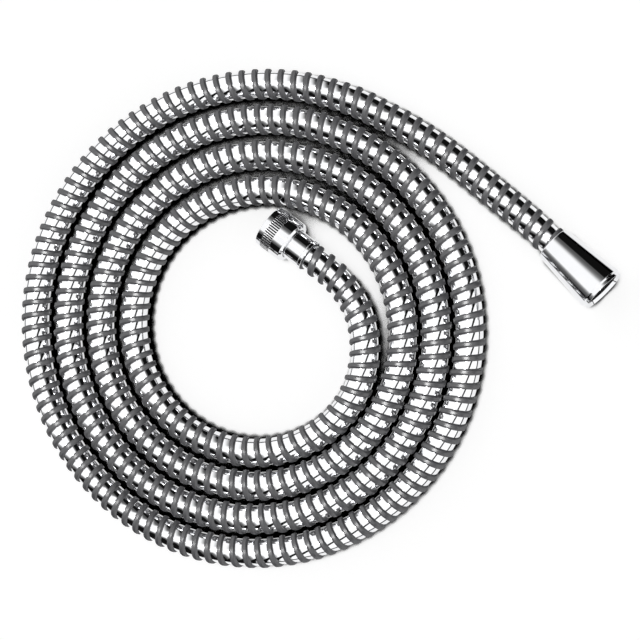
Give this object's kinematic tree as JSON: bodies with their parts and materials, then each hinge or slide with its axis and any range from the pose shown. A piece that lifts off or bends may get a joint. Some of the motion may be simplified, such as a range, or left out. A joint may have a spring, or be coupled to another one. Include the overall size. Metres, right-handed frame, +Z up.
{
  "type": "shower hose",
  "caption": "Shower hose lying in a flat coil, with a ribbed metal-effect cover, a conical nut on its outer end and a knurled union nut on its inner end.",
  "frame": {"origin": "on the surface the hose lies on, under the middle of the whole object", "axes": "+Z up out of the coil's plane, +X along the longest side towards the conical nut, +Y across the coil"},
  "size_m": [0.3258, 0.2662, 0.0252],
  "materials": {
    "ribbed_cover": "semi-gloss grey plastic rib wound over bright metallised foil",
    "chrome": "polished chrome plating",
    "water_tube": "translucent white plastic with a yarn braid in its wall",
    "brass": "turned brass",
    "rubber": "matt black rubber",
    "slip_plastic": "smooth white plastic"
  },
  "bodies": {
    "hose": {"hose_cover": "ribbed_cover", "water_tube": "water_tube", "cone_tail": "brass", "cone_slip_ring": "slip_plastic", "cone_crimp_sleeve": "brass", "union_tail": "brass", "union_slip_ring": "slip_plastic", "union_ferrule": "chrome"},
    "cone_end": {"conical_nut": "chrome", "cone_washer": "rubber"},
    "union_end": {"union_nut": "chrome", "union_washer": "rubber"}
  },
  "joints": [
    {"name": "cone_nut_spin", "type": "hinge", "parent": "hose", "child": "cone_end", "pos_m": [0.15426, 0.01252, 0.01266], "axis": [0.708, -0.7006, 0.0886], "continuous": true},
    {"name": "union_nut_spin", "type": "hinge", "parent": "hose", "child": "union_end", "pos_m": [-0.01884, 0.04852, 0.01176], "axis": [-0.7986, 0.6018, 0], "continuous": true}
  ]
}
